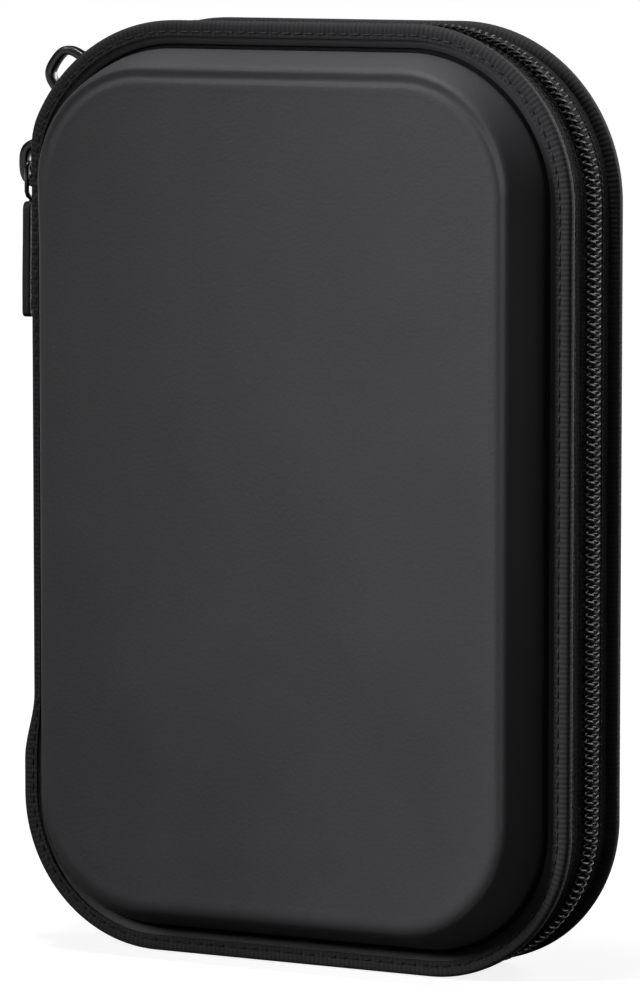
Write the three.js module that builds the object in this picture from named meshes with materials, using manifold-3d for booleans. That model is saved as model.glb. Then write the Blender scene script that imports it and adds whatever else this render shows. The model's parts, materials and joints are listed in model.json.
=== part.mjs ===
// A slim zipped hard case for a handheld launch monitor: two moulded foam half shells, a coil zip
// with two sliders round the rim, and a fabric spine that both halves fold on.
// Millimetres. +X right, +Y to the rear half, +Z up. The case stands on its rim. The pieces are drawn
// about the plane where the halves meet, and then the origin is put at the rear rim's foot.
import * as THREE from "three";
import { mergeVertices } from "three/addons/utils/BufferGeometryUtils.js";
import Module from "manifold-3d";

const wasm = await Module();
wasm.setup();

// ---- driving dimensions -------------------------------------------------------------------
const WIDTH = 125.5; // across the rim
const HEIGHT = 191.4; // up the rim
const RIM_HALF_DEPTH = 12.5; // from the meeting plane to the outer face of each rim
const TOP_RADIUS = 36; // of the upper corners of the rim's outline
const BOTTOM_RADIUS = 31; // of its lower corners
const FACE_RADIUS = 23; // of the face's corners, at the crest of the shoulder
const SHELL_DEPTH = 9.5; // how far each face stands out past its rim
const RIM_PROJECTION = 5.2; // from the rim's outline in to the foot of the shell wall
const FACE_INSET = 10.2; // from the rim's outline in to the crest of the shoulder

const SKIN = 0.5; // laminated face fabric
const FOAM = 2.6; // moulded foam core
const PRESSED_FOAM = 0.4; // the same core where the mould presses it flat at the rim
const LINING = 0.6; // knitted lining
const LAYER_GAP = 0.2; // drawn between bonded layers
const BINDING = 0.6; // binding tape folded over each rim
const BINDING_REACH = 3.2; // how far its legs reach over the rim
const BINDING_ROOM = 1.6; // between its legs

const TAPE = 0.8; // woven zip tape
const TAPE_INSET = 1.9; // from the rim's outline in to the tape's outer face
const TAPE_FLANGE = 4.2; // inset of the end of the leg that is sewn to the rim
const TAPE_FLANGE_THICKNESS = 0.4;
const ZIP_HALF_GAP = 0.9; // from the meeting plane to each tape and coil
const COIL_WIDTH = 2;
const COIL_HEIGHT = 1.4;

const NOTCH = 2.4; // how far the rim is drawn in along the spine
const NOTCH_TOP_DROP = 19.7; // from the top of the rim down to where it starts to draw in
const NOTCH_TOP_RUN = 15; // the height over which it does so
const NOTCH_BOTTOM_RISE = 37.7; // from the bottom of the rim up to where it is all the way out again
const NOTCH_BOTTOM_RUN = 14;
const SPINE_TOP_DROP = 75.7; // from the top of the rim down to the spine
const SPINE_BOTTOM_RISE = 51.7; // from its bottom up to the spine
const SPINE_PANEL = 1; // thickness
const SPINE_INSET = 0.1; // of its outer face
const SPINE_LINING = 0.5;
const HINGE_OFFSET = 8.6; // from the meeting plane to each line the spine folds on

const SLIDER_LENGTH = 13;
const SKIRT = 0.9; // thickness of the plate's turned-down sides
const NOSE_FLARE = 1.2; // how much wider the nose is than the tail
const PLATE = 1.3;
const INNER_PLATE = 1.1;
const BAIL_HEIGHT = 7.4; // of the bail over the outer plate
const BAIL_WIDTH = 2.6;
const BAIL_STRIP = 1.1;
const UPPER_SLIDER_ANGLE = 142; // degrees round the upper left corner, counted from +X
const LOWER_SLIDER_DROP = 30.5; // from the top of the rim down to the lower slider's middle
const PULL_WIDTH = 7;
const PULL_THICKNESS = 1.8;
const PULL_GRIP_LENGTH = 24;
const PULL_LINK_LENGTH = 7.6;
const PULL_LINK_ROD = 1;
const PULL_LINK_DROP = 1.3; // from under the bail's top to the link of the hanging pull
const PULL_LINK_PLAY = 0.9; // from the bail's side to the link's
const UPPER_PULL_CANT = 55; // degrees that the upper pull lies over towards the rear
const UPPER_PULL_REST = 2.3; // from its link's bar to the middle of the bail's leg that it hangs on

const STRAP_WIDTH = 25;
const STRAP = 1;
const STRAP_ANCHOR = 9; // length of each sewn-down end
const STRAP_HEIGHT = 0; // of its middle above the case's middle
const NET_TOP = 22; // top of the net pocket, above the middle
const NET = 0.7;
const NET_STANDOFF = 3.4; // from the net to the lid's lining
const HEM_HEIGHT = 7;
const STOP_LENGTH = 3;

const CLEARANCE = 0.3; // between pieces that touch

// ---- worked-out places ----------------------------------------------------------------------
const MIDDLE = HEIGHT / 2;
const NOTCH_TOP = MIDDLE - NOTCH_TOP_DROP; // these heights count from the middle
const NOTCH_TOP_END = NOTCH_TOP - NOTCH_TOP_RUN;
const NOTCH_BOTTOM = NOTCH_BOTTOM_RISE - MIDDLE;
const NOTCH_BOTTOM_END = NOTCH_BOTTOM + NOTCH_BOTTOM_RUN;
const SPINE_TOP = MIDDLE - SPINE_TOP_DROP;
const SPINE_BOTTOM = SPINE_BOTTOM_RISE - MIDDLE;
const LOWER_SLIDER_HEIGHT = MIDDLE - LOWER_SLIDER_DROP;
const TOP_CENTRE_X = WIDTH / 2 - TOP_RADIUS;
const TOP_CENTRE_Z = HEIGHT / 2 - TOP_RADIUS;
const BINDING_INNER = RIM_HALF_DEPTH - 2 * BINDING - BINDING_ROOM;
const TAPE_EDGE = BINDING_INNER - CLEARANCE;
const NOTCHED = (inset) => NOTCH * THREE.MathUtils.clamp(1 - inset / RIM_PROJECTION, 0, 1);

// ---- outline of the rim ---------------------------------------------------------------------
// A station is a place on the outline: a direction out of one of its corners, or a height on its
// left side. It holds how far the rim is drawn in there, as a share of the notch.
function smooth(value, from, to) {
  return THREE.MathUtils.smoothstep((value - from) / (to - from), 0, 1);
}

function notchAt(height) {
  return smooth(height, NOTCH_BOTTOM, NOTCH_BOTTOM_END) * (1 - smooth(height, NOTCH_TOP_END, NOTCH_TOP));
}

function cornerStation(sideX, sideZ, angle) {
  const direction = new THREE.Vector2(Math.cos(angle), Math.sin(angle));
  const radius = sideZ > 0 ? TOP_RADIUS : BOTTOM_RADIUS;
  const height = sideZ * (HEIGHT / 2 - radius) + radius * direction.y;
  const notch = direction.x < -0.5 ? notchAt(height) : 0;
  return { sideX, sideZ, direction, radius, notch };
}

function corner(sideX, sideZ, startQuarter, steps) {
  return Array.from({ length: steps + 1 }, (_, i) =>
    cornerStation(sideX, sideZ, ((startQuarter + i / steps) * Math.PI) / 2),
  );
}

const leftStation = (height) => ({ height, notch: notchAt(height) });

// The zip's run goes from the foot of the spine down and round the case to the spine's top.
function zipStations() {
  const steps = 4;
  const foot = Array.from({ length: steps }, (_, i) =>
    leftStation(NOTCH_BOTTOM_END + ((NOTCH_BOTTOM - NOTCH_BOTTOM_END) * i) / (steps - 1)),
  );
  return [
    ...foot,
    ...corner(-1, -1, 2, 8),
    ...corner(1, -1, 3, 8),
    ...corner(1, 1, 0, 8),
    ...corner(-1, 1, 1, 12),
    leftStation(SPINE_TOP + 20),
    leftStation(SPINE_TOP),
  ];
}

const ZIP_RUN = zipStations();
const SPINE_RUN = [leftStation(SPINE_TOP - CLEARANCE), leftStation(SPINE_BOTTOM + CLEARANCE)];

// The corners are concentric over the rim. From its foot to the crest they close to the face's.
function radiusAt(rimRadius, inset) {
  if (inset <= RIM_PROJECTION) return rimRadius - inset;
  const share = Math.min((inset - RIM_PROJECTION) / (FACE_INSET - RIM_PROJECTION), 1);
  const beyond = Math.max(inset - FACE_INSET, 0);
  return THREE.MathUtils.lerp(rimRadius - RIM_PROJECTION, FACE_RADIUS, share) - beyond;
}

// "drawn" is the inset that the notch is read at, where a whole piece is drawn in by one amount.
function pointAt(place, inset, y, drawn = inset) {
  const notch = place.notch * NOTCHED(drawn);
  if (place.height !== undefined) return new THREE.Vector3(inset + notch - WIDTH / 2, y, MIDDLE + place.height);
  const radius = radiusAt(place.radius, inset);
  const centreX = place.sideX * (WIDTH / 2 - inset - radius);
  const centreZ = place.sideZ * (HEIGHT / 2 - inset - radius);
  const x = centreX + place.direction.x * (radius - notch);
  const z = centreZ + place.direction.y * (radius - notch);
  return new THREE.Vector3(x, y, MIDDLE + z);
}

// ---- solids ---------------------------------------------------------------------------------
function signedVolume(points, faces) {
  let volume = 0;
  const cross = new THREE.Vector3();
  for (const [a, b, c] of faces) volume += points[a].dot(cross.crossVectors(points[b], points[c]));
  return volume / 6;
}

function geometryOf(points, faces) {
  const turned = signedVolume(points, faces) < 0 ? faces.map(([a, b, c]) => [a, c, b]) : faces;
  const flat = turned.flat().flatMap((index) => points[index].toArray());
  const geometry = new THREE.BufferGeometry();
  geometry.setAttribute("position", new THREE.Float32BufferAttribute(flat, 3));
  geometry.computeVertexNormals();
  return geometry;
}

// Joins loops of points that have one count. The loops are closed, and so is the row of loops
// when "ring" is set. Otherwise the first and last loops are capped by the given triangles.
function skinLoops(loops, ring, capFaces) {
  const count = loops[0].length;
  const points = loops.flat();
  const faces = [];
  const rows = ring ? loops.length : loops.length - 1;
  for (let row = 0; row < rows; row += 1) {
    const next = (row + 1) % loops.length;
    for (let i = 0; i < count; i += 1) {
      const j = (i + 1) % count;
      const [a, b] = [row * count + i, row * count + j];
      const [c, d] = [next * count + j, next * count + i];
      faces.push([a, b, c], [a, c, d]);
    }
  }
  if (!ring) {
    const last = (loops.length - 1) * count;
    for (const [a, b, c] of capFaces) faces.push([a, c, b], [last + a, last + b, last + c]);
  }
  return geometryOf(points, faces);
}

const windsBackwards = (a, b, c) => THREE.ShapeUtils.area([a, b, c]) < 0;

// Sweeps a closed section, given as [inset, y] pairs, along stations of the outline.
function sweep(section, stations, ring, drawn) {
  const loops = stations.map((place) => section.map(([inset, y]) => pointAt(place, inset, y, drawn)));
  const flat = section.map(([inset, y]) => new THREE.Vector2(inset, y));
  const turned = THREE.ShapeUtils.area(flat) < 0;
  const faces = THREE.ShapeUtils.triangulateShape(flat, []);
  const turn = ([a, b, c]) => (windsBackwards(flat[a], flat[b], flat[c]) === turned ? [a, b, c] : [a, c, b]);
  return skinLoops(loops, ring, faces.map(turn));
}

// Turns a profile, given as [inset, y] pairs from one face to the other, into a dished shell.
function dish(profile) {
  const loops = profile.map(([inset, y]) => ZIP_RUN.map((place) => pointAt(place, inset, y)));
  const faces = [];
  for (let i = 1; i < ZIP_RUN.length - 1; i += 1) faces.push([0, i, i + 1]);
  return skinLoops(loops, false, faces);
}

function manifoldOf(geometry) {
  const bare = geometry.clone();
  for (const name of Object.keys(bare.attributes)) if (name !== "position") bare.deleteAttribute(name);
  const merged = mergeVertices(bare, 1e-4);
  return new wasm.Manifold(
    new wasm.Mesh({
      numProp: 3,
      vertProperties: merged.attributes.position.array,
      triVerts: new Uint32Array(merged.index.array),
    }),
  );
}

function joined(...geometries) {
  const whole = geometries.map(manifoldOf).reduce((sum, solid) => sum.add(solid));
  const mesh = whole.getMesh();
  const geometry = new THREE.BufferGeometry();
  geometry.setAttribute("position", new THREE.BufferAttribute(mesh.vertProperties, 3));
  geometry.setIndex(new THREE.BufferAttribute(mesh.triVerts, 1));
  return geometry;
}

function block(low, high) {
  const size = high.map((value, i) => value - low[i]);
  const geometry = new THREE.BoxGeometry(...size);
  return geometry.translate(...low.map((value, i) => value + size[i] / 2));
}

// ---- half shells ----------------------------------------------------------------------------
// The outer profile runs from the rim's edge to the face, as [inset, depth past the rim] pairs:
// a flat flange, then the wall. Wall places are [share of the way in to the crest, share of the depth].
const CREASED_WALL = [
  [0.04, 0.06],
  [0.36, 0.5],
  [0.64, 0.82],
  [0.8, 0.93],
  [1, 0.975],
  [1.16, 0.958],
  [1.32, 0.982],
  [1.6, 1],
];
// The layers under the foam leave out the crease, and take the tight shoulder in wider steps.
const PLAIN_WALL = [
  [0.04, 0.06],
  [0.46, 0.64],
  [0.9, 0.96],
  [1.6, 1],
];

function outerProfile(creased) {
  const flange = -(BINDING + LAYER_GAP);
  const wall = FACE_INSET - RIM_PROJECTION;
  const places = creased ? CREASED_WALL : PLAIN_WALL;
  return [
    [BINDING + LAYER_GAP, flange],
    [RIM_PROJECTION - 0.3, flange],
    [RIM_PROJECTION, flange + 0.4],
    ...places.map(([inset, depth]) => [RIM_PROJECTION + inset * wall, depth * SHELL_DEPTH]),
  ];
}

// The same profile moved into the shell by a distance, square to itself.
function movedIn(profile, distance) {
  return profile.map(([inset, depth], i) => {
    const before = profile[Math.max(i - 1, 0)];
    const after = profile[Math.min(i + 1, profile.length - 1)];
    const along = new THREE.Vector2(after[0] - before[0], after[1] - before[1]).normalize();
    return [inset + along.y * distance, depth - along.x * distance];
  });
}

function skinProfile(side) {
  const outer = outerProfile(true);
  const place = ([inset, depth]) => [inset, side * (RIM_HALF_DEPTH + depth)];
  const back = movedIn(outer, SKIN).map(place);
  return [...outer.map(place).reverse(), ...back];
}

function coreProfile(side) {
  const near = SKIN + LAYER_GAP;
  const outer = outerProfile(false);
  const place = ([inset, depth]) => [inset, side * (RIM_HALF_DEPTH + depth)];
  const front = movedIn(outerProfile(true), near);
  const back = movedIn(outer, near + FOAM);
  const flangeBack = front[0][1] - PRESSED_FOAM;
  const foot = RIM_PROJECTION + FOAM + near;
  const wall = back.slice(4);
  const flange = [
    [front[0][0], flangeBack],
    [foot - 0.6, flangeBack],
    [foot, flangeBack + 0.6],
  ];
  return [...front.reverse(), ...flange, ...wall].map(place);
}

// The lining's inner face, from the rim to the middle. It turns out over the back of the flange.
function liningInner() {
  const near = SKIN + FOAM + 2 * LAYER_GAP;
  const foot = [RIM_PROJECTION + near + LINING, liningLip() - 0.4];
  return [foot, ...movedIn(outerProfile(false), near + LINING).slice(4)];
}

const liningLip = () => outerProfile(false)[0][1] - SKIN - PRESSED_FOAM - 2 * LAYER_GAP;

function liningProfile(side) {
  const near = SKIN + FOAM + 2 * LAYER_GAP;
  const place = ([inset, depth]) => [inset, side * (RIM_HALF_DEPTH + depth)];
  const front = movedIn(outerProfile(false), near).slice(4);
  return [...front.reverse(), [RIM_PROJECTION + near, liningLip()], ...liningInner()].map(place);
}

function bindingSection(side) {
  const outer = RIM_HALF_DEPTH;
  const inner = BINDING_INNER;
  const round = 0.5;
  return [
    [0, outer - round],
    [round, outer],
    [BINDING_REACH, outer],
    [BINDING_REACH, outer - BINDING],
    [BINDING, outer - BINDING],
    [BINDING, inner + BINDING],
    [BINDING_REACH, inner + BINDING],
    [BINDING_REACH, inner],
    [round, inner],
    [0, inner + round],
  ].map(([inset, y]) => [inset, side * y]);
}

// ---- zip ------------------------------------------------------------------------------------
function tapeSection(side) {
  return [
    [TAPE_INSET, ZIP_HALF_GAP],
    [TAPE_INSET, TAPE_EDGE],
    [TAPE_FLANGE, TAPE_EDGE],
    [TAPE_FLANGE, TAPE_EDGE - TAPE_FLANGE_THICKNESS],
    [TAPE_INSET + TAPE, TAPE_EDGE - TAPE_FLANGE_THICKNESS],
    [TAPE_INSET + TAPE, ZIP_HALF_GAP],
  ].map(([inset, y]) => [inset, side * y]);
}

function coilSection(side) {
  const low = TAPE_INSET - CLEARANCE;
  const high = low - COIL_HEIGHT;
  const round = 0.5;
  return [
    [low, ZIP_HALF_GAP],
    [high + round, ZIP_HALF_GAP],
    [high, ZIP_HALF_GAP + round],
    [high, ZIP_HALF_GAP + COIL_WIDTH - round],
    [high + round, ZIP_HALF_GAP + COIL_WIDTH],
    [low, ZIP_HALF_GAP + COIL_WIDTH],
  ].map(([inset, y]) => [inset, side * y]);
}

// Each end of the zip is closed by a folded tab that is sewn across the rear tape.
function stopGeometry(upper) {
  const height = upper ? SPINE_TOP + 1 : SPINE_BOTTOM - 1;
  const away = upper ? STOP_LENGTH : -STOP_LENGTH;
  const low = TAPE_INSET - CLEARANCE;
  const section = [
    [low, ZIP_HALF_GAP + COIL_WIDTH + CLEARANCE],
    [low - COIL_HEIGHT, ZIP_HALF_GAP + COIL_WIDTH + CLEARANCE],
    [low - COIL_HEIGHT, TAPE_EDGE - 1.6],
    [low, TAPE_EDGE - 1.2],
  ];
  return sweep(section, [leftStation(height), leftStation(height + away)], false, TAPE_INSET);
}

// ---- spine ----------------------------------------------------------------------------------
function spineGeometry(near, thickness) {
  const edge = HINGE_OFFSET - CLEARANCE;
  const section = [
    [near, -edge],
    [near, edge],
    [near + thickness, edge],
    [near + thickness, -edge],
  ];
  return sweep(section, SPINE_RUN, false, SPINE_INSET);
}

// ---- sliders --------------------------------------------------------------------------------
// A slider is drawn in its own frame: +X from its nose to its tail along the zip, +Y out of the
// case with the rim's outline at 0, and Z across the zip.
const PLATE_LOW = CLEARANCE + COIL_HEIGHT - (TAPE_INSET - CLEARANCE);
const PLATE_TOP = PLATE_LOW + PLATE;
const SKIRT_INNER = ZIP_HALF_GAP + COIL_WIDTH + CLEARANCE;
const TAIL_WIDTH = 2 * (SKIRT_INNER + SKIRT);
const NOSE_WIDTH = TAIL_WIDTH + NOSE_FLARE;
const INNER_TOP = -(TAPE_INSET + TAPE + 1);
const PIN_HEIGHT = PLATE_TOP + BAIL_HEIGHT - BAIL_STRIP - PULL_LINK_ROD / 2 - PULL_LINK_DROP;
const LYING_HEIGHT = PLATE_TOP + PULL_THICKNESS / 2 + CLEARANCE;

function plateShape(noseWidth, tailWidth) {
  const half = SLIDER_LENGTH / 2;
  const shape = new THREE.Shape();
  shape.moveTo(-half, 0);
  shape.quadraticCurveTo(-half, noseWidth / 2, -half + 3, noseWidth / 2);
  shape.lineTo(-0.5, noseWidth / 2);
  shape.quadraticCurveTo(half - 4, tailWidth / 2, half - 1, tailWidth / 2);
  shape.lineTo(half, tailWidth / 2 - 1);
  shape.lineTo(half, -tailWidth / 2 + 1);
  shape.lineTo(half - 1, -tailWidth / 2);
  shape.quadraticCurveTo(half - 4, -tailWidth / 2, -0.5, -noseWidth / 2);
  shape.lineTo(-half + 3, -noseWidth / 2);
  shape.quadraticCurveTo(-half, -noseWidth / 2, -half, 0);
  return shape;
}

function plate(low, thickness) {
  const options = { depth: thickness, bevelEnabled: false, curveSegments: 4 };
  const geometry = new THREE.ExtrudeGeometry(plateShape(NOSE_WIDTH, TAIL_WIDTH), options);
  return geometry.rotateX(-Math.PI / 2).translate(0, low, 0);
}

function sliderBody() {
  const half = SLIDER_LENGTH / 2;
  const skirtLow = -TAPE_INSET + CLEARANCE;
  const post = 0.5;
  const overlap = 0.2;
  return joined(
    plate(PLATE_LOW, PLATE),
    plate(INNER_TOP - INNER_PLATE, INNER_PLATE),
    block([-half + 1, INNER_TOP - overlap, -post], [-half + 3.5, PLATE_LOW + overlap, post]),
    ...[-1, 1].map((side) => {
      const across = [side * SKIRT_INNER, side * (SKIRT_INNER + SKIRT)].sort((a, b) => a - b);
      return block([0, skirtLow, across[0]], [half - 1.2, PLATE_LOW + overlap, across[1]]);
    }),
  );
}

// The bail is a bent strip that stands on the outer plate, with the pull's ring under it.
function bail() {
  const foot = PLATE_TOP + CLEARANCE;
  const top = PLATE_TOP + BAIL_HEIGHT;
  const reach = SLIDER_LENGTH / 2 - 1;
  const inner = reach - BAIL_STRIP;
  const under = top - BAIL_STRIP;
  const shape = new THREE.Shape();
  shape.moveTo(-reach, foot);
  shape.bezierCurveTo(-reach, top - 0.6, -reach * 0.62, top, 0, top);
  shape.bezierCurveTo(reach * 0.62, top, reach, top - 0.6, reach, foot);
  shape.lineTo(inner, foot);
  shape.bezierCurveTo(inner, under - 0.6, inner * 0.62, under, 0, under);
  shape.bezierCurveTo(-inner * 0.62, under, -inner, under - 0.6, -inner, foot);
  const options = { depth: BAIL_WIDTH, bevelEnabled: false, curveSegments: 6 };
  return new THREE.ExtrudeGeometry(shape, options).translate(0, 0, -BAIL_WIDTH / 2);
}

// The pull is drawn about its pin, hanging along +X. Its link is a ring that closes on a tongue.
function pullLink() {
  const rod = PULL_LINK_ROD / 2;
  const halfWidth = BAIL_WIDTH / 2 + PULL_LINK_PLAY + PULL_LINK_ROD;
  const neck = PULL_LINK_LENGTH;
  const outline = new THREE.Shape();
  outline.moveTo(-rod, -halfWidth);
  outline.lineTo(neck - 1.6, -halfWidth);
  outline.lineTo(neck, -1.2);
  outline.lineTo(neck + 2.5, -1.2);
  outline.lineTo(neck + 2.5, 1.2);
  outline.lineTo(neck, 1.2);
  outline.lineTo(neck - 1.6, halfWidth);
  outline.lineTo(-rod, halfWidth);
  const inside = halfWidth - PULL_LINK_ROD;
  const hole = new THREE.Path();
  hole.moveTo(rod, -inside);
  hole.lineTo(rod, inside);
  hole.lineTo(neck - 1.4, inside);
  hole.lineTo(neck - 1.4, -inside);
  outline.holes.push(hole);
  const options = { depth: PULL_LINK_ROD, bevelEnabled: false };
  const geometry = new THREE.ExtrudeGeometry(outline, options);
  return geometry.rotateX(-Math.PI / 2).translate(0, -rod, 0);
}

// The grip is moulded over the link's tongue, so it has a pocket that the tongue sits in.
function pullGrip() {
  const start = PULL_LINK_LENGTH + CLEARANCE;
  const end = start + PULL_GRIP_LENGTH;
  const half = PULL_WIDTH / 2;
  const outline = new THREE.Shape();
  outline.moveTo(start, -half + 1.4);
  outline.lineTo(start + 1.4, -half);
  outline.lineTo(end - 1.4, -half);
  outline.quadraticCurveTo(end, -half, end, -half + 1.4);
  outline.lineTo(end, half - 1.4);
  outline.quadraticCurveTo(end, half, end - 1.4, half);
  outline.lineTo(start + 1.4, half);
  outline.lineTo(start, half - 1.4);
  const options = { depth: PULL_THICKNESS, bevelEnabled: false, curveSegments: 4 };
  const whole = new THREE.ExtrudeGeometry(outline, options);
  whole.rotateX(-Math.PI / 2).translate(0, -PULL_THICKNESS / 2, 0);
  const room = PULL_LINK_ROD / 2 + 0.2;
  const tongue = 1.2 + CLEARANCE;
  const pocket = block([start - 1, -room, -tongue], [PULL_LINK_LENGTH + 2.5 + CLEARANCE, room, tongue]);
  const mesh = manifoldOf(whole).subtract(manifoldOf(pocket)).getMesh();
  const geometry = new THREE.BufferGeometry();
  geometry.setAttribute("position", new THREE.BufferAttribute(mesh.vertProperties, 3));
  geometry.setIndex(new THREE.BufferAttribute(mesh.triVerts, 1));
  return geometry;
}

// ---- inside fittings ------------------------------------------------------------------------
const LINING_DEPTH = RIM_HALF_DEPTH + SHELL_DEPTH - SKIN - FOAM - LINING - 2 * LAYER_GAP;

// Inset of the lining's inner face at a depth past the rim.
function liningInset(depth) {
  const inner = liningInner();
  const next = Math.max(inner.findIndex((place) => place[1] >= depth), 1);
  const [nearInset, nearDepth] = inner[next - 1];
  const [farInset, farDepth] = inner[next];
  return nearInset + ((farInset - nearInset) * (depth - nearDepth)) / (farDepth - nearDepth);
}

function strapGeometry() {
  const near = LINING_DEPTH - CLEARANCE - STRAP;
  const half = WIDTH / 2 - liningInset(near - RIM_HALF_DEPTH) - STRAP_ANCHOR - 2 * CLEARANCE - 2;
  const middle = MIDDLE + STRAP_HEIGHT;
  return block(
    [-half, near, middle - STRAP_WIDTH / 2],
    [half, near + STRAP, middle + STRAP_WIDTH / 2],
  );
}

function anchorGeometry(side) {
  const near = LINING_DEPTH - CLEARANCE - 1.2 * STRAP;
  const outer = WIDTH / 2 - liningInset(near - RIM_HALF_DEPTH) - CLEARANCE - 2;
  const across = [side * outer, side * (outer - STRAP_ANCHOR)].sort((a, b) => a - b);
  const middle = MIDDLE + STRAP_HEIGHT;
  return block(
    [across[0], near, middle - STRAP_WIDTH / 2 - 1],
    [across[1], near + 1.2 * STRAP, middle + STRAP_WIDTH / 2 + 1],
  );
}

// The net closes the lower part of the lid, and its hem runs straight across at the top.
function netDepth() {
  return LINING_DEPTH - NET_STANDOFF;
}

function pocketOutline(low, high) {
  const inset = liningInset(netDepth() + NET - RIM_HALF_DEPTH) + CLEARANCE;
  const radius = radiusAt(BOTTOM_RADIUS, inset);
  const half = WIDTH / 2 - inset;
  const shape = new THREE.Shape();
  if (low === null) {
    const foot = -HEIGHT / 2 + inset;
    shape.moveTo(half, high);
    shape.lineTo(-half, high);
    shape.lineTo(-half, foot + radius);
    shape.absarc(-half + radius, foot + radius, radius, Math.PI, 1.5 * Math.PI, false);
    shape.lineTo(half - radius, foot);
    shape.absarc(half - radius, foot + radius, radius, 1.5 * Math.PI, 2 * Math.PI, false);
  } else {
    shape.moveTo(-half, low);
    shape.lineTo(half, low);
    shape.lineTo(half, high);
    shape.lineTo(-half, high);
  }
  return shape;
}

function pocketPiece(low, high, thickness) {
  const options = { depth: thickness, bevelEnabled: false, curveSegments: 6 };
  const geometry = new THREE.ExtrudeGeometry(pocketOutline(low, high), options);
  return geometry.rotateX(Math.PI / 2).translate(0, -netDepth() + thickness / 2, MIDDLE);
}

// ---- materials ------------------------------------------------------------------------------
function finish(color, roughness, metalness = 0) {
  return new THREE.MeshStandardMaterial({ color, roughness, metalness });
}

const FACE_FABRIC = finish("#3a393b", 0.62);
const FOAM_CORE = finish("#1c1c1e", 0.9);
const KNIT = finish("#2b2b2e", 0.95);
const WEBBING = finish("#232325", 0.85);
const NYLON = finish("#1f1f21", 0.5);
const BLACK_METAL = finish("#1b1b1d", 0.35, 0.9);
const RUBBER = finish("#141415", 0.7);

// ---- assembly -------------------------------------------------------------------------------
const group = new THREE.Group();

function add(parent, name, geometry, material) {
  const mesh = new THREE.Mesh(geometry, material);
  mesh.name = name;
  parent.add(mesh);
}

function addHalf(name, side) {
  add(group, `${name}_shell_skin`, dish(skinProfile(side)), FACE_FABRIC);
  add(group, `${name}_shell_core`, dish(coreProfile(side)), FOAM_CORE);
  add(group, `${name}_shell_lining`, dish(liningProfile(side)), KNIT);
  add(group, `${name}_rim_binding`, sweep(bindingSection(side), ZIP_RUN, true), WEBBING);
  add(group, `${name}_zip_tape`, sweep(tapeSection(side), ZIP_RUN, false), WEBBING);
  add(group, `${name}_zip_coil`, sweep(coilSection(side), ZIP_RUN, false), NYLON);
}

function addSlider(name, frame, pullFrame) {
  const slider = new THREE.Group();
  slider.applyMatrix4(frame);
  add(slider, `${name}_slider_body`, sliderBody(), BLACK_METAL);
  add(slider, `${name}_slider_bail`, bail(), BLACK_METAL);
  const pull = new THREE.Group();
  pull.applyMatrix4(pullFrame);
  add(pull, `${name}_pull_link`, pullLink(), BLACK_METAL);
  add(pull, `${name}_pull_grip`, pullGrip(), RUBBER);
  slider.add(pull);
  group.add(slider);
}

// A frame whose +X is "along" and +Y is "outward".
function frameAt(origin, along, outward) {
  const across = new THREE.Vector3().crossVectors(along, outward);
  return new THREE.Matrix4().makeBasis(along, outward, across).setPosition(origin);
}

function upperSliderFrame() {
  const angle = THREE.MathUtils.degToRad(UPPER_SLIDER_ANGLE);
  const outward = new THREE.Vector3(Math.cos(angle), 0, Math.sin(angle));
  const along = new THREE.Vector3(Math.sin(angle), 0, -Math.cos(angle));
  const origin = outward.clone().multiplyScalar(TOP_RADIUS);
  return frameAt(origin.add(new THREE.Vector3(-TOP_CENTRE_X, 0, MIDDLE + TOP_CENTRE_Z)), along, outward);
}

// The lower slider stands where the drawn-in rim leaves the corner, square to the side.
function lowerSliderFrame() {
  const sine = Math.max(LOWER_SLIDER_HEIGHT - TOP_CENTRE_Z, 0) / TOP_RADIUS;
  const place = cornerStation(-1, 1, Math.PI - Math.asin(sine));
  const origin = new THREE.Vector3(pointAt(place, TAPE_INSET, 0).x - TAPE_INSET, 0, 0);
  origin.z = MIDDLE + LOWER_SLIDER_HEIGHT;
  return frameAt(origin, new THREE.Vector3(0, 0, -1), new THREE.Vector3(-1, 0, 0));
}

// The lower pull hangs straight down from the top of its bail.
function hangingPullFrame() {
  return new THREE.Matrix4().setPosition(0, PIN_HEIGHT, 0);
}

// The upper pull has slipped to the foot of its bail and lies over to the rear, flat on the plate.
function lyingPullFrame() {
  const turn = Math.PI - THREE.MathUtils.degToRad(UPPER_PULL_CANT);
  const leg = -(SLIDER_LENGTH / 2 - 1 - BAIL_STRIP / 2);
  const frame = new THREE.Matrix4().makeRotationY(turn);
  const bar = new THREE.Vector3(-UPPER_PULL_REST, 0, 0).applyMatrix4(frame);
  return frame.setPosition(leg + bar.x, LYING_HEIGHT, bar.z);
}

addHalf("front", -1);
addHalf("rear", 1);
add(group, "spine_panel", spineGeometry(SPINE_INSET, SPINE_PANEL), WEBBING);
add(group, "spine_lining", spineGeometry(SPINE_INSET + SPINE_PANEL + LAYER_GAP, SPINE_LINING), KNIT);
add(group, "zip_stop_upper", stopGeometry(true), WEBBING);
add(group, "zip_stop_lower", stopGeometry(false), WEBBING);
add(group, "retaining_strap", strapGeometry(), WEBBING);
add(group, "strap_anchor_left", anchorGeometry(-1), WEBBING);
add(group, "strap_anchor_right", anchorGeometry(1), WEBBING);
add(group, "pocket_net", pocketPiece(null, NET_TOP - HEM_HEIGHT - CLEARANCE, NET), KNIT);
add(group, "pocket_hem", pocketPiece(NET_TOP - HEM_HEIGHT, NET_TOP, 1.4 * NET), WEBBING);
addSlider("upper", upperSliderFrame(), lyingPullFrame());
addSlider("lower", lowerSliderFrame(), hangingPullFrame());
group.position.y = -(RIM_HALF_DEPTH + BINDING_INNER) / 2;

export default group;
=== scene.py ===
import json
import math

import bmesh
import bpy
import numpy as np
from mathutils import Matrix, Vector


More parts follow.
